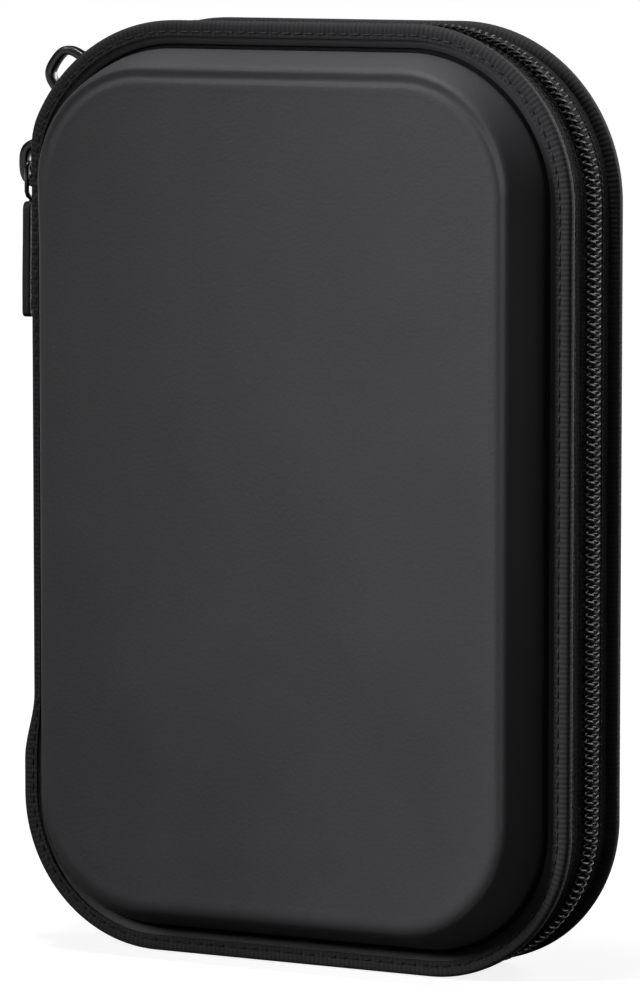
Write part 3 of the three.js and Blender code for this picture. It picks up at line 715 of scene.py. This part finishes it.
def node(tree, kind, links=None, **settings):
    """Adds one node. links gives its sockets values, or other nodes' outputs."""
    made = tree.nodes.new("ShaderNode" + kind)
    for name, value in settings.items():
        setattr(made, name, value)
    for name, value in (links or {}).items():
        if isinstance(value, bpy.types.NodeSocket):
            tree.links.new(value, made.inputs[name])
        else:
            made.inputs[name].default_value = value
    return made


def material(name, **shader_values):
    """A material with one shader. Values that are the same all over are set on its sockets."""
    made = bpy.data.materials.new(name)
    made.use_nodes = True
    tree = made.node_tree
    tree.nodes.clear()
    values = {key.replace("_", " "): value for key, value in shader_values.items()}
    shader = node(tree, "BsdfPrincipled", values)
    node(tree, "OutputMaterial", {"Surface": shader.outputs[0]})
    return made, tree, shader


def finish(tree, shader, colour=None, roughness=None, height=None, depth=0.0001, strength=1.0):
    """Wires a pattern's colour, roughness and height, in metres of depth, to the shader."""
    if colour is not None:
        tree.links.new(colour, shader.inputs["Base Color"])
    if roughness is not None:
        tree.links.new(roughness, shader.inputs["Roughness"])
    if height is not None:
        bump = node(tree, "Bump", {"Strength": strength, "Distance": depth, "Height": height})
        tree.links.new(bump.outputs[0], shader.inputs["Normal"])


def maths(tree, operation, first, second):
    return node(tree, "Math", {0: first, 1: second}, operation=operation).outputs[0]


def object_place(tree):
    return node(tree, "TexCoord").outputs["Object"]


def mixed(tree, share, first, second):
    """A colour between two hex colours, or between a socket's and a hex colour."""
    first, second = (linear(c) if isinstance(c, str) else c for c in (first, second))
    return node(tree, "MixRGB", {"Fac": share, "Color1": first, "Color2": second}).outputs[0]


def bands(tree, vector, period_mm, direction):
    """Ribs of a real spacing across coordinates in metres."""
    scale = 628.318 if direction == "DIAGONAL" else 314.159  # that of a wave with a period of 1 mm
    return node(tree, "TexWave", {"Vector": vector, "Scale": scale / period_mm},
                bands_direction=direction, wave_profile="SIN").outputs["Fac"]


def cells(tree, vector, size_mm):
    return node(tree, "TexVoronoi", {"Vector": vector, "Scale": 1000 / size_mm}, feature="F1").outputs["Distance"]


def grain(tree, vector, size_mm, detail=2.0, roughness=0.5):
    return node(tree, "TexNoise", {"Vector": vector, "Scale": 1000 / size_mm, "Detail": detail,
                                   "Roughness": roughness}).outputs["Fac"]


def spread(tree, value, low, high, to_low=0.0, to_high=1.0):
    return node(tree, "MapRange", {"Value": value, "From Min": low, "From Max": high, "To Min": to_low,
                                   "To Max": to_high}).outputs[0]


def face_fabric():
    # Polyester cloth with a thin polyurethane face, heat-moulded with its foam: charcoal, matt with a
    # broad soft sheen, a fine grain, and faintly cloudy where the press stretched it.
    # The cloth's 0.25 mm grain is too fine to show, so it is drawn at 0.45 mm.
    made, tree, shader = material("polyurethane_faced_polyester_moulded", IOR=1.5, Specular_IOR_Level=0.42,
                                  Sheen_Weight=0.06, Sheen_Roughness=0.5, Sheen_Tint=linear("#8a888c"))
    place = object_place(tree)
    cloudy = grain(tree, place, 34, 3)
    fine = grain(tree, place, 0.45, 3, 0.6)
    pores = cells(tree, place, 0.8)
    colour = mixed(tree, spread(tree, cloudy, 0.35, 0.65), "#434245", "#4b4a4d")
    colour = mixed(tree, spread(tree, fine, 0.3, 0.7, 0.0, 0.35), colour, "#39383b")
    roughness = spread(tree, cloudy, 0.3, 0.7, 0.56, 0.64)
    height = maths(tree, "ADD", fine, pores)
    finish(tree, shader, colour, roughness, height, 0.00006, 0.36)
    return made


def grosgrain():
    # Polyester grosgrain binding, woven with ribs across its width: dull and slightly fuzzy. The colour
    # darkens between the ribs as painted shade, mixed with a random tone of the threads. The ribs of 0.6 mm are
    # drawn at 1 mm, the finest that shows.
    made, tree, shader = material("polyester_grosgrain_woven", IOR=1.5, Specular_IOR_Level=0.35, Sheen_Weight=0.12,
                                  Sheen_Roughness=0.4, Sheen_Tint=linear("#77767a"))
    run = node(tree, "UVMap", uv_map="run").outputs[0]
    ribs = bands(tree, run, 1.0, "X")
    threads = grain(tree, run, 0.4, 2)
    shade = maths(tree, "MULTIPLY", ribs, threads)
    # painted shade: darker where the ribs dip, lighter on their crests, mixed with the threads' random tone
    colour = mixed(tree, spread(tree, shade, 0.05, 0.55), "#302f31", "#3d3c3f")
    finish(tree, shader, colour, spread(tree, threads, 0.3, 0.7, 0.72, 0.86), ribs, 0.00007, 0.7)
    return made


def zip_tape():
    # Polyester zip tape, a dense twill: flat and dark, with diagonal lines that turn at the middle.
    # The twill's 0.5 mm lines are drawn at 0.9 mm.
    made, tree, shader = material("polyester_zip_tape_twill", IOR=1.5, Specular_IOR_Level=0.3)
    run = node(tree, "UVMap", uv_map="run").outputs[0]
    lines = bands(tree, run, 0.9, "DIAGONAL")
    along = bands(tree, run, 0.8, "Y")
    weave = maths(tree, "MULTIPLY", lines, along)
    colour = mixed(tree, spread(tree, weave, 0.1, 0.7), "#2a292b", "#514f54")
    finish(tree, shader, colour, spread(tree, weave, 0.0, 1.0, 0.9, 0.75), weave, 0.00014, 0.8)
    return made


def monofilament():
    # Nylon monofilament, wound and heat-set: smooth, slightly glossy, dyed with the tape.
    made, tree, shader = material("nylon_monofilament_heat_set", IOR=1.53, Specular_IOR_Level=0.2)
    place = object_place(tree)
    dye = grain(tree, place, 6, 2)
    colour = mixed(tree, spread(tree, dye, 0.35, 0.65), "#131214", "#1f1e20")
    finish(tree, shader, colour, spread(tree, dye, 0.3, 0.7, 0.44, 0.56), grain(tree, place, 0.6), 0.00003, 0.4)
    return made


def thread():
    # Bonded polyester sewing thread: twisted, a touch shinier than the tape.
    made, tree, shader = material("bonded_polyester_thread", IOR=1.5, Specular_IOR_Level=0.4)
    place = object_place(tree)
    twist = bands(tree, place, 0.5, "DIAGONAL")
    colour = mixed(tree, twist, "#1f1e20", "#38373a")
    finish(tree, shader, colour, spread(tree, twist, 0, 1, 0.7, 0.55), twist, 0.00005, 0.6)
    return made


def lacquered_metal():
    # Die-cast zinc with baked black lacquer: glossy, with soft orange peel and a little rubbed
    # grey on the high places, where hands and other metal touch it.
    made, tree, shader = material("zinc_die_cast_black_lacquer", IOR=1.5, Specular_IOR_Level=0.45,
                                  Coat_Weight=0.35, Coat_Roughness=0.16)
    place = object_place(tree)
    peel = grain(tree, place, 1.2, 2)
    rubbed = spread(tree, node(tree, "NewGeometry").outputs["Pointiness"], 0.6, 0.8)
    patchy = maths(tree, "MULTIPLY", rubbed, grain(tree, place, 2.5, 3))
    colour = mixed(tree, patchy, "#0a0a0b", "#2c2b2a")
    finish(tree, shader, colour, spread(tree, peel, 0.3, 0.7, 0.24, 0.36), peel, 0.00004, 0.5)
    return made


def moulded_grip():
    # Thermoplastic rubber moulded over the link's tongue: black, satin, with a spark-eroded grain.
    made, tree, shader = material("thermoplastic_rubber_moulded", IOR=1.5, Specular_IOR_Level=0.45)
    place = object_place(tree)
    erosion = grain(tree, place, 0.5, 3, 0.7)
    colour = mixed(tree, spread(tree, erosion, 0.3, 0.7), "#101011", "#1b1b1c")
    finish(tree, shader, colour, spread(tree, erosion, 0.3, 0.7, 0.42, 0.6), erosion, 0.00005, 0.6)
    return made


def moulded_foam():
    # EVA foam pressed in a hot mould: dull, dark, with closed cells of about 0.5 mm.
    made, tree, shader = material("eva_foam_pressed", IOR=1.45, Specular_IOR_Level=0.25, Roughness=0.9)
    place = object_place(tree)
    bubbles = cells(tree, place, 0.6)
    colour = mixed(tree, bubbles, "#141415", "#232325")
    finish(tree, shader, colour, None, bubbles, 0.00012, 0.7)
    return made


def velour():
    # Brushed warp-knit polyester: a short soft pile that scatters light at grazing angles.
    made, tree, shader = material("brushed_polyester_knit", IOR=1.5, Specular_IOR_Level=0.2, Roughness=0.92,
                                  Sheen_Weight=0.45, Sheen_Roughness=0.35, Sheen_Tint=linear("#6d6d72"))
    place = object_place(tree)
    pile = grain(tree, place, 0.7, 3, 0.7)
    brushed = grain(tree, place, 14, 2)
    shade = maths(tree, "MULTIPLY", pile, brushed)
    colour = mixed(tree, spread(tree, shade, 0.12, 0.4), "#242427", "#38383c")
    finish(tree, shader, colour, None, pile, 0.0002, 0.7)
    return made


def elastic():
    # Woven elastic: rubber threads along it make fine cords, crossed by polyester that gathers.
    made, tree, shader = material("woven_elastic_polyester_rubber", IOR=1.5, Specular_IOR_Level=0.3, Roughness=0.8)
    place = object_place(tree)
    cords = bands(tree, place, 1.3, "Z")
    picks = bands(tree, place, 0.7, "X")
    weave = maths(tree, "MULTIPLY", cords, picks)
    colour = mixed(tree, spread(tree, weave, 0.05, 0.7), "#161617", "#303032")
    finish(tree, shader, colour, None, weave, 0.00025, 0.8)
    return made


def net_knit():
    # Knitted polyester net with 2.6 mm diamond holes: bright threads round openings that let the
    # lining show through.
    made, tree, shader = material("polyester_net_knitted", IOR=1.5, Specular_IOR_Level=0.3, Roughness=0.7)
    place = object_place(tree)
    turned = node(tree, "Mapping", {"Vector": place, "Rotation": (0, math.pi / 4, 0)}).outputs[0]
    across = bands(tree, turned, 1.9, "X")
    up = bands(tree, turned, 1.9, "Z")
    strands = maths(tree, "MAXIMUM", across, up)
    solid = spread(tree, strands, 0.55, 0.7)
    colour = mixed(tree, strands, "#1d1d1f", "#3c3c40")
    finish(tree, shader, colour, None, strands, 0.0003, 0.8)
    tree.links.new(solid, shader.inputs["Alpha"])
    return made


def studio_floor():
    # Matt floor paint. The camera sees it lifted towards white, fully so further away, and it keeps
    # the soft shadow under the case. Reflections show it white from a little way off. What it throws
    # back on to the case is dimmer.
    made, tree, shader = material("matt_floor_paint", Roughness=0.9, Specular_IOR_Level=0.1)
    output = next(n for n in tree.nodes if n.bl_idname == "ShaderNodeOutputMaterial")
    rays = node(tree, "LightPath").outputs
    seen = rays["Is Camera Ray"]
    tree.links.new(mixed(tree, seen, "#505050", "#a0a0a0"), shader.inputs["Base Color"])
    place = object_place(tree)
    away = node(tree, "VectorMath", {0: place}, operation="LENGTH").outputs["Value"]
    lift = maths(tree, "MULTIPLY", seen, spread(tree, away, *LIFT_GROWS, FLOOR_LIFT, 1.0))
    mirrored = maths(tree, "MULTIPLY", rays["Is Glossy Ray"], spread(tree, away, *MIRRORED_GROWS))
    lifted = maths(tree, "ADD", lift, mirrored)
    light = node(tree, "Emission", {"Color": (1, 1, 1, 1), "Strength": lifted}).outputs[0]
    both = node(tree, "AddShader", {0: shader.outputs[0], 1: light}).outputs[0]
    tree.links.new(both, output.inputs["Surface"])
    return made


FACE, RIBBED, TWILL, FILAMENT = face_fabric(), grosgrain(), zip_tape(), monofilament()
THREAD, METAL, GRIP, EVA = thread(), lacquered_metal(), moulded_grip(), moulded_foam()
KNIT, ELASTIC, NET = velour(), elastic(), net_knit()


# ---- pieces -----------------------------------------------------------------------------------
def dressed(piece, body, slot, cover, *nodes):
    """Gives a piece its material, hides the CAD nodes that it stands for, and hangs it under the body that it
    moves with. The slot is not used.
    """
    piece.data.materials.append(cover)
    if nodes:
        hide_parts(*nodes)
    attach(piece, body)


def make_half(half, side, body, track):
    cloth = dish(f"{half}_face_cloth", skin_profile(side, SMOOTH_WALL), CROWN, 10,
                 top_profile=skin_profile(side, CREASED_WALL))
    dressed(cloth, body, "face_fabric", FACE, f"{half}_shell_skin")
    dressed(dish(f"{half}_foam", foam_profile(side), 0, 1, 40), body, "foam", EVA, f"{half}_shell_core")
    dressed(dish(f"{half}_knit_lining", lining_profile(side), 0, 4, 40), body, "lining", KNIT,
            f"{half}_shell_lining")
    dressed(sweep(f"{half}_binding_tape", RING, binding_section(side), True, 60), body, "binding", RIBBED,
            f"{half}_rim_binding")
    dressed(sweep(f"{half}_woven_tape", ZIP_RUN, tape_section(side), False), body, "zip_tape", TWILL,
            f"{half}_zip_tape")
    dressed(coil(f"{half}_coil_turns", track, side), body, "coil", FILAMENT, f"{half}_zip_coil")
    tape_rows = [(TAPE_INSET, side * y, -0.14, 0) for y in TAPE_SEAMS]
    dressed(stitches(f"{half}_tape_stitches", track, tape_rows, 1.5, 1.0), body, "zip_tape", THREAD)
    leg_rows = [(BINDING_SEAM, side * (RIM_HALF - 0.1), 0, side * SEAM_DIP),
                (BINDING_SEAM, side * (BINDING_INNER + 0.1), 0, -side * SEAM_DIP)]
    dressed(stitches(f"{half}_binding_stitches", track, leg_rows, 2.6, 1.9, 0.19), body, "binding", THREAD)


def bowed_slab(name, outline, levels, matrix=None, angle=50):
    return fitting(name, [slab(outline, levels)], matrix or Matrix.Identity(4), angle)


def make_spine():
    """The woven panel that joins the halves, and the knit behind it."""
    turned = Matrix(((0, 1, 0, 0), (1, 0, 0, 0), (0, 0, 1, 0), (0, 0, 0, 1)))
    # The cloth's edges are tucked into the rims, so that no light passes beside it.
    for node_name, name, slot, cover, bow, tuck in (("spine_panel", "spine_cloth", "binding", RIBBED, 0.25, 1.5),
                                                    ("spine_lining", "spine_knit", "lining", KNIT, 0.1, 0)):
        near, far, y0, y1, z0, z1 = box_mm(node_name)
        half = (y1 - y0) / 2 + tuck
        outline = rounded_box_outline(-half, half, z0, z1, 0.8)
        levels = [(near, bow + 0.3), (near + bow, 0.05), (far - bow, 0.05), (far, bow + 0.3)]
        piece = bowed_slab(name, outline, levels, turned, 35)
        spread_uv(piece)
        dressed(piece, "spine", slot, cover, node_name)
    outer, _, _, _, z0, z1 = box_mm("spine_panel")
    rows = []
    pitch, length, seam = 2.6, 1.9, 6.9
    for y in (-seam, seam):
        for k in range(int((z1 - z0) / pitch) - 1):
            z = z0 + 1.6 + pitch * k + np.linspace(0, length, 5)
            x = outer + np.array([0.12, -0.06, -0.1, -0.06, 0.12])
            rows.append(tube(np.column_stack([x, np.full(5, y), z]), 0.19, 5))
    dressed(new_piece("spine_stitches", *gathered(rows)), "spine", "binding", THREAD)


def spread_uv(piece):
    """Coordinates in metres for a small flat piece: z runs along it, and y across."""
    layer = piece.data.uv_layers.new(name="run")
    for loop in piece.data.loops:
        place = piece.data.vertices[loop.vertex_index].co
        layer.data[loop.index].uv = (place.z, place.y + place.x)


def make_stops():
    for end in ("upper", "lower"):
        x0, x1, y0, y1, z0, z1 = box_mm(f"zip_stop_{end}")
        outline = rounded_box_outline(x0, x1, z0, z1, 0.4)
        piece = bowed_slab(f"folded_stop_{end}", outline, rounded_levels(y0, y1, 0.35))
        spread_uv(piece)
        dressed(piece, "rear_half", "binding", RIBBED, f"zip_stop_{end}")


def band(name, rows):
    """A closed band through rings of points, capped at both ends."""
    rows = np.array(rows)
    faces = skin_rows(rows, False, True)[0] + end_faces(*rows.shape[:2])
    return consistent(new_piece(name, rows.reshape(-1, 3), faces, angle=60))


def make_strap():
    """An elastic band across the rear half, sewn down at both ends under two patches."""
    x0, x1, near, far, z0, z1 = box_mm("retaining_strap")
    columns, section = 60, softened_square(24, 0.3, 0.5)
    rows = []
    for i in range(columns + 1):
        share = i / columns
        narrow = 1 - 0.07 * math.sin(math.pi * share) ** 0.7
        lift = 0.5 * math.sin(math.pi * share)
        ripple = 0.05 * math.sin(share * 90)
        rows.append([(x0 + (x1 - x0) * share, (near + far) / 2 - lift + v * ((far - near) / 2 - 0.06) + ripple,
                      (z0 + z1) / 2 + u * (z1 - z0) / 2 * narrow) for u, v in section])
    dressed(band("elastic_strap", rows), "rear_half", "elastic", ELASTIC, "retaining_strap")
    for end in ("left", "right"):
        x0, x1, near, far, z0, z1 = box_mm(f"strap_anchor_{end}")
        outline = rounded_box_outline(x0, x1, z0, z1, 1.6)
        piece = bowed_slab(f"strap_patch_{end}", outline,
                           [(near, 0.9), (near + 0.15, 0.3), (near + 0.4, 0), (far - 0.1, 0), (far, 0.2)])
        spread_uv(piece)
        dressed(piece, "rear_half", "binding", RIBBED, f"strap_anchor_{end}")
        seam = sewn_line(f"strap_patch_stitches_{end}", inset_outline(outline, 1.3), near + 0.12)
        dressed(seam, "rear_half", "binding", THREAD)


def sewn_line(name, outline, height, pitch=2.2, length=1.6):
    """Stitches along a closed outline that lies square to the depth."""
    ends = np.vstack([outline, outline[:1]])
    run = np.concatenate([[0], np.cumsum(np.linalg.norm(np.diff(ends, axis=0), axis=1))])
    parts = []
    for k in range(int(run[-1] / pitch)):
        at = k * pitch + np.linspace(0, length, 5)
        x, z = np.interp(at, run, ends[:, 0]), np.interp(at, run, ends[:, 1])
        parts.append(tube(np.column_stack([x, height + np.array([0.1, -0.1, -0.14, -0.1, 0.1]), z]), 0.18, 5))
    return new_piece(name, *gathered(parts))


def make_pocket():
    """A net sheet over the lower part of the lid, drawn in by an elastic hem."""
    x0, x1, y0, y1, z0, z1 = box_mm("pocket_net")
    face = (y0 + y1) / 2
    radius, count, rise = 17.5, 72, 64
    front = []
    for j in range(rise + 1):
        z = z0 + (z1 - z0) * j / rise
        cut = radius - math.sqrt(max(radius**2 - max(radius - (z - z0), 0) ** 2, 0))
        row = []
        for i in range(count + 1):
            share = i / count
            x = (x0 + cut) * (1 - share) + (x1 - cut) * share
            fall = math.sin(math.pi * share) * math.sin(math.pi * (j / rise) ** 0.8)
            pleat = 0.12 * math.sin(share * 2 * math.pi * 17) * (j / rise) ** 3
            row.append((x, face + 0.55 * fall + pleat, z))
        front.append(row)
    front = np.array(front)
    faces = skin_rows(front, False, False)[0]
    piece = new_piece("pocket_net_sheet", front.reshape(-1, 3), faces)
    thick = piece.modifiers.new("cloth thickness", "SOLIDIFY")
    thick.thickness, thick.offset = 0.0003, 0
    applied(piece)
    dressed(piece, "lid", "net", NET, "pocket_net")
    x0, x1, near, far, z0, z1 = box_mm("pocket_hem")
    columns, section = 240, softened_square(16, 0.5, 1)
    rows = []
    for i in range(columns + 1):
        share = i / columns
        pleat = 0.13 * math.sin(share * 2 * math.pi * 34)
        rows.append([(x0 + (x1 - x0) * share, (near + far) / 2 + v * (far - near) / 2 * 0.7 + pleat * u * u,
                      (z0 + z1) / 2 + u * ((z1 - z0) / 2 - 0.1)) for u, v in section])
    hem = band("pocket_elastic_hem", rows)
    dressed(hem, "lid", "elastic", ELASTIC, "pocket_hem")


def applied(piece):
    """Replaces the piece's mesh by what its modifiers make."""
    graph = bpy.context.evaluated_depsgraph_get()
    mesh = bpy.data.meshes.new_from_object(piece.evaluated_get(graph))
    piece.modifiers.clear()
    piece.data = mesh


def make_slider(name, slider_frame, pull_frame):
    slider, pull = f"{name}_slider", f"{name}_pull"
    dressed(fitting(f"{name}_slider_casting", slider_parts(), slider_frame), slider, "black_metal", METAL,
            f"{slider}_body")
    dressed(fitting(f"{name}_bail_strip", bail_parts(), slider_frame), slider, "black_metal", METAL,
            f"{slider}_bail")
    dressed(fitting(f"{name}_wire_link", link_parts(), pull_frame), pull, "black_metal", METAL, f"{pull}_link")
    dressed(fitting(f"{name}_moulded_grip", grip_parts(), pull_frame), pull, "pull_rubber", GRIP, f"{pull}_grip")


ZIP_TRACK = Track(ZIP_RUN)
for half, side, body in HALVES:
    make_half(half, side, body, ZIP_TRACK)
make_spine()
make_stops()
make_strap()
make_pocket()
make_slider("upper", *upper_frames())
make_slider("lower", *lower_frames())


# ---- studio -----------------------------------------------------------------------------------
FLOOR_LIFT = 0.86  # the floor's own white next to the case
LIFT_GROWS = (0.1, 0.5)  # metres from the case
MIRRORED_GROWS = (0.3, 1.0)
OVERHEAD_STARTS, OVERHEAD_FULL = 0.7, 0.9  # sines of the elevation
AMBIENT = 0.012


def make_floor():
    bpy.ops.mesh.primitive_plane_add(size=12, location=(0, 0, CAD_BOX[0].z - 0.0002))
    floor = bpy.context.object
    floor.name = "studio_floor"
    floor.data.materials.append(studio_floor())


def make_world(ambient):
    """Even dim light on the case, and plain white behind it: all round for the camera, and overhead
    for reflections, where a studio's white sweep would be."""
    world = bpy.data.worlds.new("studio")
    bpy.context.scene.world = world
    world.use_nodes = True
    tree = world.node_tree
    tree.nodes.clear()
    rays = node(tree, "LightPath").outputs
    direction = node(tree, "TexCoord").outputs["Generated"]
    height = node(tree, "SeparateXYZ", {0: direction}).outputs["Z"]
    overhead = spread(tree, height, OVERHEAD_STARTS, OVERHEAD_FULL)
    bounced = maths(tree, "MAXIMUM", rays["Is Glossy Ray"], rays["Is Transmission Ray"])
    bounced = maths(tree, "MULTIPLY", bounced, overhead)
    whiteness = maths(tree, "MAXIMUM", rays["Is Camera Ray"], bounced)
    dim = node(tree, "Background", {"Color": (1, 1, 1, 1), "Strength": ambient}).outputs[0]
    white = node(tree, "Background", {"Color": (1, 1, 1, 1), "Strength": 1.0}).outputs[0]
    seen = node(tree, "MixShader", {0: whiteness, 1: dim, 2: white}).outputs[0]
    node(tree, "OutputWorld", {"Surface": seen})


def towards(azimuth, elevation):
    """The direction out from the case. Azimuth 0 is in front of it and 90 to its right."""
    a, e = math.radians(azimuth), math.radians(elevation)
    return Vector((math.sin(a) * math.cos(e), -math.cos(a) * math.cos(e), math.sin(e)))


def make_light(name, azimuth, elevation, distance, size, power, spread_degrees=180, turned=0):
    """A softbox of that width and height. One that is turned aside lights the case with the edge of
    its beam, so that the light falls off across it."""
    away = towards(azimuth, elevation)
    lamp = bpy.data.lights.new(name, "AREA")
    lamp.shape = "RECTANGLE"
    lamp.size, lamp.size_y = size
    lamp.energy, lamp.spread = power, math.radians(spread_degrees)
    lamp_object = bpy.data.objects.new(name, lamp)
    bpy.context.scene.collection.objects.link(lamp_object)
    lamp_object.location = CENTRE + away * distance
    aim = Matrix.Rotation(math.radians(turned), 3, "Z") @ away
    lamp_object.rotation_euler = aim.to_track_quat("Z", "Y").to_euler()


def make_camera():
    """A long lens at the height of the case's middle, from the right of the front."""
    azimuth, elevation = 28, 6.2
    distance, aside, above = 1.225, 0.0105, 0.0006
    back = towards(azimuth, elevation)
    right = Vector((math.cos(math.radians(azimuth)), math.sin(math.radians(azimuth)), 0))
    up = back.cross(right)
    target = Vector((0, MEET_METRES - 0.0215, (CAD_BOX[0].z + CAD_BOX[1].z) / 2))
    camera = bpy.data.cameras.new("camera")
    camera.lens, camera.sensor_width = 220.48, 36
    camera_object = bpy.data.objects.new("camera", camera)
    bpy.context.scene.collection.objects.link(camera_object)
    camera_object.location = target + back * distance + right * aside + up * above
    camera_object.rotation_euler = Matrix((right, up, back)).transposed().to_euler()
    bpy.context.scene.camera = camera_object


CENTRE = (CAD_BOX[0] + CAD_BOX[1]) / 2
make_floor()
make_world(AMBIENT)
make_light("key", -34, 29, 1.1, (0.1, 0.5), 3.7, 60, -29)
make_light("top", -8, 83, 0.9, (0.16, 0.2), 3.6)
make_light("back", 160, 14, 1.1, (0.3, 0.8), 6.5)
make_light("side", 142, 16, 1.1, (0.2, 0.8), 0.5)
make_camera()
bpy.context.scene.view_settings.view_transform = "Standard"
